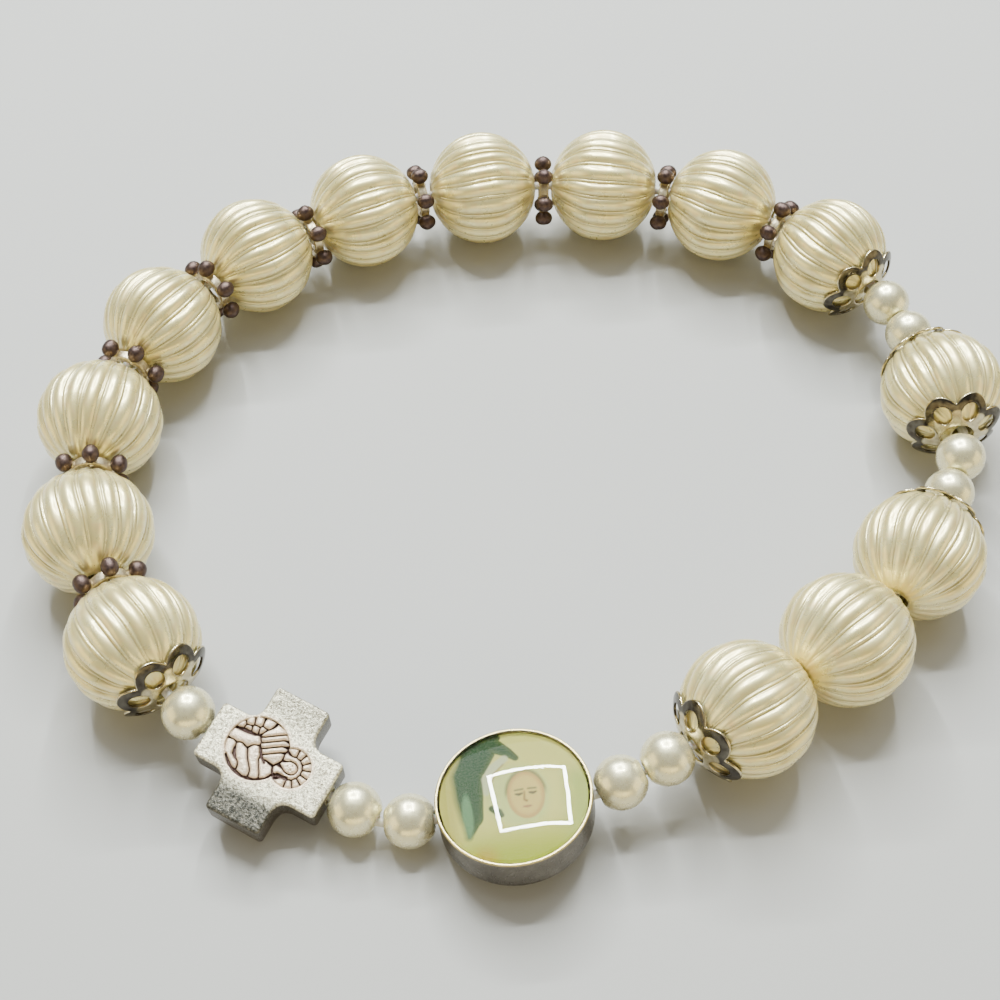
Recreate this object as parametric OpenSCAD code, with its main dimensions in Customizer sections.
// Stretch bracelet of ribbed faux pearls on a closed elastic, lying flat as one whole loop.
// Millimetres, Z up. The origin is on the surface, under the middle of the bracelet.

/* [Ribbed beads] */
// Outer diameter across the ribs
bead_d = 10; // [9.8:0.1:10.2]
// Length between the flat ends
bead_len = 9.5; // [9.3:0.1:9.6]
// Diameter of a flat end
bead_end_d = 2.2; // [2:0.1:2.6]
// Number of ribs round a bead
rib_count = 20; // [16:1:22]
// Depth of the grooves between the ribs, at the middle of the bead
groove_depth = 0.25; // [0.1:0.05:0.35]
// Diameter of the drilled hole
bead_bore_d = 1.6; // [1.4:0.1:1.8]

/* [Small pearls] */
// Outer diameter of a small pearl
pearl_d = 3.9; // [3.7:0.1:4]
// Length between the ground ends
pearl_len = 3.5; // [3.3:0.1:3.5]
// Diameter of the drilled hole
pearl_bore_d = 1.1; // [1:0.1:1.2]

/* [Ball spacers] */
// Diameter of the hub
hub_d = 3.5; // [3:0.1:3.6]
// Thickness of the hub
hub_t = 0.8; // [0.6:0.1:0.9]
// Number of balls round the hub
ball_count = 6; // [5:1:7]
// Diameter of a ball
ball_d = 1.36; // [1.2:0.02:1.4]
// Length of a ball along the string
ball_len = 1.5; // [1.42:0.02:1.52]
// Diameter of the circle that the balls' centres lie on
ball_ring_d = 4.84; // [4.6:0.02:5]
// Diameter of the neck between the hub and a ball
neck_d = 0.7; // [0.5:0.1:0.8]
// Diameter of the hole
spacer_bore_d = 2.2; // [2.1:0.1:2.4]

/* [Bead caps] */
// Number of petals
petal_count = 7; // [6:1:8]
// Thickness of the stamped sheet
cap_t = 0.2; // [0.15:0.05:0.25]
// Radius of the cap's hollow side
cap_r = 5.4; // [5.3:0.1:5.6]
// Gap between the cap and the end of the bead
cap_gap = 0.11; // [0.1:0.01:0.2]
// Diameter of the solid middle
cap_disc_d = 5; // [4.6:0.1:5.2]
// Diameter of a petal
petal_d = 2.7; // [2.4:0.1:2.8]
// Diameter of the circle that the petals' centres lie on
petal_ring_d = 4.9; // [4.7:0.1:5]
// Diameter of the hole in a petal
petal_hole_d = 1.4; // [1:0.1:1.5]
// Diameter of the middle hole
cap_hole_d = 2.6; // [2.2:0.1:2.8]

/* [Cross] */
// Length of each of the two bars
cross_span = 9.8; // [9.5:0.1:10]
// Width of an arm
arm_w = 4.3; // [4.1:0.1:4.5]
// Thickness of the casting
cross_t = 2.6; // [2.4:0.1:2.8]
// Fillet between two arms
arm_fillet = 0.9; // [0.7:0.1:1]
// Rounding of an arm's corners
arm_corner_r = 0.3; // [0.1:0.1:0.6]
// Depth of the sunk field round the relief
field_depth = 0.35; // [0.2:0.05:0.5]
// Radius of the sunk field
field_r = 2.3; // [2.2:0.1:2.4]
// Radius of the sunk ring round the head
halo_r = 1.5; // [1.4:0.1:1.6]
// Diameter of the string hole
cross_bore_d = 1.3; // [1.1:0.1:1.4]
// Turn of the cross about the string
cross_roll = -9; // [-10:1:-5]

/* [Medal] */
// Outer diameter of the setting
medal_d = 11; // [10.8:0.1:11]
// Height of the setting
medal_t = 3.2; // [3:0.1:3.2]
// Thickness of the rim
rim_t = 0.25; // [0.2:0.05:0.4]
// Depth of the seat inside the rim
seat_depth = 0.7; // [0.6:0.1:0.9]
// Rounding of the lower edge
foot_r = 0.8; // [0.4:0.1:1]
// Thickness of the printed disc
print_t = 0.15; // [0.1:0.05:0.2]
// Height of the dome's middle above its edge
dome_rise = 0.65; // [0.4:0.05:0.8]
// Gap round the print and the dome
medal_gap = 0.1; // [0.05:0.05:0.15]
// Diameter of the string hole
medal_bore_d = 1.3; // [1.1:0.1:1.4]
// Turn of the medal about the string
medal_roll = 8; // [4:1:9]

/* [Elastic] */
// Diameter of the elastic
elastic_d = 0.7; // [0.5:0.1:0.8]
// How far the stretched elastic is drawn towards the inside of the loop between ribbed beads
elastic_pull = 0.32; // [0.2:0.02:0.34]

/* [Hidden] */
$fn = 48;

// The strung pieces, clockwise seen from above, from the first ribbed bead by the cross.
// Columns: kind, heading in plan, lift of the string after the piece, room before the next piece.
// The lift is measured from the height of a large bead's middle.
KIND = 0;
HEADING = 1;
LIFT = 2;
ROOM = 3;
STRING = [
    ["ribbed", 126, 0, 1.65],
    ["ribbed", 106, 0, 1.75],
    ["ribbed", 83, 0, 1.8],
    ["ribbed", 58.5, 0, 1.6],
    ["ribbed", 39.5, 0, 1.4],
    ["ribbed", 24.5, 0, 1.7],
    ["ribbed", 7.5, 0, 1.65],
    ["ribbed", -3.5, 0, 1.6],
    ["ribbed", -23, 0, 1.8],
    ["ribbed", -47.5, 0, 0.55],
    ["pearl", -66, -0.3, 0.15],
    ["pearl", -68, -0.4, 0.4],
    ["ribbed", -79.5, 0.4, 0.85],
    ["pearl", -109.5, 0.2, 0.2],
    ["pearl", -117, 0, 0.2],
    ["ribbed", -120, 0, 0.55],
    ["ribbed", -142.5, 0, 0.15],
    ["ribbed", -145, 0, 0.5],
    ["pearl", -155.5, -0.8, 0.15],
    ["pearl", -157, -1.7, 0.35],
    ["medal", -173, -2.8, 0.2],
    ["pearl", -177.5, -3.1, 0.6],
    ["pearl", -205, -2.4, 0.2],
    ["cross", -207, -1.3, 0.4],
    ["pearl", -216.5, 0, 0.7]
];
PIECES = len(STRING);

// Where each kind stands on the string
RIBBED = [for (k = [0:PIECES - 1]) if (STRING[k][KIND] == "ribbed") k];
PEARLS = [for (k = [0:PIECES - 1]) if (STRING[k][KIND] == "pearl") k];
MEDAL = search(["medal"], STRING)[0];
CROSS = search(["cross"], STRING)[0];

// The spacers stand in the first gaps between ribbed beads. Their holes are wide, and most of them
// hang towards the inside of the loop.
// Columns: turn about the string, slide along the string, towards the outside of the loop and up.
SPACERS = [
    [11, -0.05, -0.94, 0],
    [8, 0.2, -0.94, 0],
    [24, 0.2, -0.94, 0.05],
    [55, 0.16, -0.93, -0.1],
    [44, 0, -0.62, -0.54],
    [57, -0.1, -0.2, -0.28],
    [17, 0.03, -0.93, -0.13],
    [58, 0.12, -0.83, -0.35],
    [56, 0.05, -0.73, -0.46]
];

// The caps have slid a little on their beads, towards the small pearl beside them.
// Columns: ribbed bead, end of it (-1 back, 1 front), turn about the bead's axis, slide towards
// the outside of the loop and slide downwards, both as angles about the middle of the bead.
CAPS = [
    [1, -1, 7, -5, 7],
    [10, 1, 17, -8, 4],
    [11, -1, 24, -4, -1],
    [11, 1, 10, -7, 2],
    [12, -1, 48, -1, 0],
    [14, 1, 44, -1, 6]
];

function piece_len(k) =
    STRING[k][KIND] == "ribbed" ? bead_len :
    STRING[k][KIND] == "pearl" ? pearl_len :
    STRING[k][KIND] == "medal" ? medal_d : cross_span;

function previous(k) = (k + PIECES - 1) % PIECES;
function room(k) = STRING[k][ROOM];
function joint_z(k) = bead_d / 2 + STRING[k][LIFT];

// The stretch of string that a piece has, from the joint before it to the joint after it
function link_len(k) = room(previous(k)) / 2 + piece_len(k) + room(k) / 2;
function link_step(k) =
    let (rise = joint_z(k) - joint_z(previous(k)))
    let (run = sqrt(link_len(k) ^ 2 - rise ^ 2))
    run * [cos(STRING[k][HEADING]), sin(STRING[k][HEADING])];

// The joints in plan as the headings give them, from the joint before the first piece
function walk(k) = k == 0 ? [0, 0] : walk(k - 1) + link_step(k - 1);

// What the rounded headings leave open is shared out over all joints
MISS = walk(PIECES);
function joint_plan(k) = walk(k) - MISS * k / PIECES;

// The outermost points of the pieces, for the middle of the bracelet in plan
function piece_reach(k) =
    STRING[k][KIND] == "ribbed" ? bead_d / 2 :
    STRING[k][KIND] == "medal" ? medal_d / 2 : pearl_d / 2;
function share(k) =
    (room(previous(k)) / 2 + piece_len(k) / 2) / link_len(k);
function centre_plan(k) =
    joint_plan(k) + (joint_plan(k + 1) - joint_plan(k)) * share(k);
LOW = [for (axis = [0, 1]) min([for (k = [0:PIECES - 1]) centre_plan(k)[axis] - piece_reach(k)])];
HIGH = [for (axis = [0, 1]) max([for (k = [0:PIECES - 1]) centre_plan(k)[axis] + piece_reach(k)])];
MIDDLE = (LOW + HIGH) / 2;

JOINTS = [
    for (k = [0:PIECES - 1])
        let (plan = joint_plan(k) - MIDDLE)
        [plan.x, plan.y, joint_z(previous(k))]
];

function unit(v) = v / norm(v);
function link(k) = JOINTS[(k + 1) % PIECES] - JOINTS[k];
function centre(k) = JOINTS[k] + link(k) * share(k);

// The mean direction of the string on the two sides of a joint
function ahead(k) = unit(unit(link(previous(k))) + unit(link(k)));

// Points of an arc
ARC_STEPS = 5;
function arc(middle, r, from, to) = [
    for (i = [0:ARC_STEPS])
        middle + r * [cos(from + (to - from) * i / ARC_STEPS), sin(from + (to - from) * i / ARC_STEPS)]
];

// Puts +X along a direction and keeps +Y level
module along(direction) {
    heading = atan2(direction.y, direction.x);
    slope = asin(direction.z / norm(direction));
    rotate([0, -slope, heading]) children();
}

module on_string(k) {
    translate(centre(k)) along(link(k)) children();
}

// A round bar or hole along X
module bore(d, length) {
    rotate([0, 90, 0]) cylinder(h = length, d = d, center = true);
}

// Latitude of the flat ends, and half the length that the bead would have with pointed ends
END_LATITUDE = acos(bead_end_d / bead_d);
BEAD_POLE = bead_len / 2 / sin(END_LATITUDE);

// Rows of points from one flat end to the other, each with a peak and a groove for every rib
BEAD_ROWS = 9;
BEAD_COLS = 2 * rib_count;
GROOVE_SCALE = 1 - groove_depth / (bead_d / 2);

module ribbed_form() {
    points = [
        for (row = [0:BEAD_ROWS - 1])
            let (latitude = END_LATITUDE * (2 * row / (BEAD_ROWS - 1) - 1))
            for (col = [0:BEAD_COLS - 1])
                let (turn = 360 * col / BEAD_COLS)
                let (r = bead_d / 2 * cos(latitude) * (col % 2 == 0 ? 1 : GROOVE_SCALE))
                [BEAD_POLE * sin(latitude), r * sin(turn), -r * cos(turn)]
    ];
    sides = [
        for (row = [0:BEAD_ROWS - 2])
            for (col = [0:BEAD_COLS - 1])
                let (next = (col + 1) % BEAD_COLS)
                let (here = row * BEAD_COLS)
                let (there = here + BEAD_COLS)
                [here + col, there + col, there + next, here + next]
    ];
    back = [for (col = [0:BEAD_COLS - 1]) col];
    front = [for (col = [BEAD_COLS - 1:-1:0]) (BEAD_ROWS - 1) * BEAD_COLS + col];
    polyhedron(points, concat(sides, [back, front]));
}

module ribbed_bead(i) {
    color("ivory")
        on_string(RIBBED[i - 1])
            difference() {
                ribbed_form();
                bore(bead_bore_d, 2 * bead_len);
            }
}

// A ball with its ends ground flat, turned in one piece with its hole
module small_pearl(i) {
    color("floralwhite")
        on_string(PEARLS[i - 1])
            rotate([0, 90, 0])
                rotate_extrude($fn = 96)
                    intersection() {
                        circle(d = pearl_d);
                        translate([pearl_bore_d / 2, -pearl_len / 2]) square([pearl_d, pearl_len]);
                    }
}

// A ball is drawn out a little along the string, with a straight middle between two round ends
module spacer_ball(turn) {
    straight = ball_len - ball_d;
    rotate([turn, 0, 0]) {
        translate([0, 0, ball_ring_d / 2]) {
            bore(ball_d, straight);
            for (end = [-1, 1]) translate([end * straight / 2, 0, 0]) sphere(d = ball_d);
        }
        translate([0, 0, hub_d / 4]) cylinder(h = ball_ring_d / 2 - hub_d / 4, d = neck_d);
    }
}

// The spacer stands across the joint, square to the mean of the strings on its two sides
module spacer(i) {
    at = RIBBED[i];
    turn = SPACERS[i - 1][0];
    slides = [for (column = [1:3]) SPACERS[i - 1][column]];
    color("dimgray")
        translate(JOINTS[at]) along(ahead(at)) translate(slides) rotate([turn, 0, 0])
            difference() {
                union() {
                    bore(hub_d, hub_t);
                    for (n = [0:ball_count - 1]) spacer_ball(360 * n / ball_count);
                }
                bore(spacer_bore_d, 2 * ball_d);
            }
}

module cap_outline() {
    difference() {
        union() {
            circle(d = cap_disc_d);
            for (n = [0:petal_count - 1])
                rotate(360 * n / petal_count) translate([petal_ring_d / 2, 0]) circle(d = petal_d);
        }
        circle(d = cap_hole_d);
        for (n = [0:petal_count - 1])
            rotate(360 * n / petal_count) translate([petal_ring_d / 2, 0]) circle(d = petal_hole_d);
    }
}

// A cap is cut from a thin ball shell, whose middle lies behind the middle of the bead
module bead_cap(i) {
    bead = CAPS[i - 1][0];
    end = CAPS[i - 1][1];
    turn = CAPS[i - 1][2];
    outward = CAPS[i - 1][3];
    downward = CAPS[i - 1][4];
    color("silver")
        on_string(RIBBED[bead - 1])
            mirror([end < 0 ? 1 : 0, 0, 0])
                rotate([0, downward, outward]) rotate([turn, 0, 0])
                    translate([BEAD_POLE + cap_gap - cap_r, 0, 0])
                        intersection() {
                            difference() {
                                sphere(r = cap_r + cap_t, $fn = 96);
                                sphere(r = cap_r, $fn = 96);
                            }
                            rotate([0, 90, 0]) linear_extrude(2 * cap_r) cap_outline();
                        }
}

// One quarter of the cross in plan: the end of an arm, and the fillet beside it
function cross_quarter() =
    let (end = cross_span / 2)
    let (side = arm_w / 2)
    let (corner = end - arm_corner_r)
    concat(
        arc([corner, arm_corner_r - side], arm_corner_r, -90, 0),
        arc([corner, side - arm_corner_r], arm_corner_r, 0, 90),
        arc([side + arm_fillet, side + arm_fillet], arm_fillet, 270, 180)
    );
function turned(p, a) = [p.x * cos(a) - p.y * sin(a), p.x * sin(a) + p.y * cos(a)];

module cross_plan() {
    polygon([for (a = [0:90:270]) for (p = cross_quarter()) turned(p, a)]);
}

// The relief: a veiled head in a ring of beads, with the folds of a robe beside it.
// Its field is two circles that run into each other, sunk in the top of the cross.
FIELD_AT = [1.1, -0.3];
HALO_AT = [-1.7, -0.2];
FIELD_FLOOR = cross_t / 2 - field_depth;

module relief_field() {
    translate([0, 0, FIELD_FLOOR]) {
        translate(FIELD_AT) cylinder(h = field_depth * 2, r = field_r);
        translate(HALO_AT) cylinder(h = field_depth * 2, r = halo_r);
    }
}

HALO_BEADS = 8;
HALO_BEAD_D = 0.44;
HALO_BEAD_RING_R = 1.1;
HALO_BEAD_PITCH = 27;

module halo_beads() {
    for (n = [0:HALO_BEADS - 1])
        rotate(180 + HALO_BEAD_PITCH * (n - (HALO_BEADS - 1) / 2))
            translate([HALO_BEAD_RING_R, 0]) sphere(d = HALO_BEAD_D, $fn = 24);
}

HEAD_R = 0.62;
VEIL_R = 0.85;
VEIL_T = 0.4;
VEIL_SHIFT = 0.1;

module veiled_head() {
    translate([VEIL_SHIFT, 0, 0])
        rotate_extrude() translate([VEIL_R - VEIL_T / 2, 0]) circle(d = VEIL_T, $fn = 24);
    translate([0, 0, field_depth / 2 - HEAD_R / 2]) sphere(r = HEAD_R);
}

// A rounded ridge that lies on the field
module ridge(from, to, d) {
    run = to - from;
    translate(from) rotate([0, 90, atan2(run.y, run.x)]) cylinder(h = norm(run), d = d, $fn = 24);
}

// Folds of the robe, each a little shorter than the one before it
FOLDS = 4;
FOLD_D = 0.38;
FOLD_PITCH = 0.46;
FOLD_START = [0.95, -0.75];
FOLD_RUN = [-1.5, -1.05];
FOLD_SHORTER = 0.12;

module folds() {
    across = unit([FOLD_RUN.y, -FOLD_RUN.x]);
    for (n = [0:FOLDS - 1]) {
        start = FOLD_START + across * FOLD_PITCH * n;
        ridge(start, start + FOLD_RUN * (1 - FOLD_SHORTER * n), FOLD_D);
    }
}

// A row of bumps along the edge of the field
COLLAR_BUMPS = 5;
COLLAR_D = 0.6;
COLLAR_START = [2.9, -1.45];
COLLAR_STEP = [-0.46, -0.18];

module collar() {
    for (n = [0:COLLAR_BUMPS - 1])
        translate(COLLAR_START + COLLAR_STEP * n) sphere(d = COLLAR_D, $fn = 24);
}

// A rounded sleeve, and the two ridges of cloth that meet it: from, to
SLEEVE_AT = [2.15, 0.75];
SLEEVE_R = 0.6;
SLEEVE_D = 0.5;
SLEEVE_RIDGES = [
    [[2.9, -0.55], [1.3, 0]],
    [[1.2, 0.9], [-0.2, 0.6]]
];

module sleeve() {
    translate(SLEEVE_AT) rotate_extrude() translate([SLEEVE_R, 0]) circle(d = SLEEVE_D, $fn = 24);
    for (ends = SLEEVE_RIDGES) ridge(ends[0], ends[1], SLEEVE_D);
}

module relief() {
    translate([0, 0, FIELD_FLOOR]) {
        translate(HALO_AT) {
            halo_beads();
            veiled_head();
        }
        folds();
        collar();
        sleeve();
    }
}

module cross() {
    color("lightgray")
        on_string(CROSS)
            rotate([cross_roll, 0, 0])
                difference() {
                    union() {
                        difference() {
                            linear_extrude(cross_t, center = true) cross_plan();
                            relief_field();
                        }
                        relief();
                    }
                    bore(cross_bore_d, 2 * cross_span);
                }
}

SEAT_R = medal_d / 2 - rim_t;
SEAT_FLOOR = medal_t / 2 - seat_depth;
PRINT_R = SEAT_R - medal_gap;
PRINT_FLOOR = SEAT_FLOOR + medal_gap / 2;
DOME_FLOOR = PRINT_FLOOR + print_t + medal_gap / 2;
DOME_EDGE = medal_t / 2 - medal_gap;
DOME_R = (PRINT_R ^ 2 + dome_rise ^ 2) / (2 * dome_rise);

module on_medal() {
    on_string(MEDAL) rotate([medal_roll, 0, 0]) children();
}

// A round cup with a rounded lower edge, drilled through its middle for the string
module medal_setting() {
    r = medal_d / 2;
    bottom = -medal_t / 2;
    color("silver")
        on_medal()
            difference() {
                rotate_extrude($fn = 96)
                    polygon(concat(
                        [[0, bottom]],
                        arc([r - foot_r, bottom + foot_r], foot_r, -90, 0),
                        [[r, -bottom], [SEAT_R, -bottom], [SEAT_R, SEAT_FLOOR], [0, SEAT_FLOOR]]
                    ));
                bore(medal_bore_d, 2 * medal_d);
            }
}

module medal_print() {
    color("yellowgreen")
        on_medal()
            translate([0, 0, PRINT_FLOOR]) cylinder(h = print_t, r = PRINT_R, $fn = 96);
}

module medal_dome() {
    color([0.95, 0.98, 0.92, 0.4])
        on_medal()
            rotate_extrude($fn = 96)
                intersection() {
                    translate([0, DOME_FLOOR]) square([PRINT_R, medal_t]);
                    translate([0, DOME_EDGE + dome_rise - DOME_R]) circle(r = DOME_R, $fn = 480);
                }
}

ELASTIC_SIDES = 8;

function is_ribbed(k) = STRING[k][KIND] == "ribbed";
function pull(k) = is_ribbed(k) && is_ribbed(previous(k)) ? elastic_pull : 0;

// One closed tube through every hole, with a ring of points at each joint
module elastic() {
    points = [
        for (k = [0:PIECES - 1])
            let (outward = unit(cross([0, 0, 1], ahead(k))))
            let (up = cross(ahead(k), outward))
            for (s = [0:ELASTIC_SIDES - 1])
                let (turn = 360 * s / ELASTIC_SIDES)
                let (spoke = elastic_d / 2 * (cos(turn) * outward + sin(turn) * up))
                JOINTS[k] - outward * pull(k) + spoke
    ];
    quads = [
        for (k = [0:PIECES - 1])
            for (s = [0:ELASTIC_SIDES - 1])
                let (here = k * ELASTIC_SIDES)
                let (there = (k + 1) % PIECES * ELASTIC_SIDES)
                let (next = (s + 1) % ELASTIC_SIDES)
                [here + s, there + s, there + next, here + next]
    ];
    triangles = [for (q = quads) each [[q[0], q[1], q[2]], [q[0], q[2], q[3]]]];
    color("white") polyhedron(points, triangles);
}

for (i = [1:len(RIBBED)])
    ribbed_bead(i);
for (i = [1:len(PEARLS)])
    small_pearl(i);
for (i = [1:len(SPACERS)])
    spacer(i);
for (i = [1:len(CAPS)])
    bead_cap(i);
cross();
medal_setting();
medal_print();
medal_dome();
elastic();
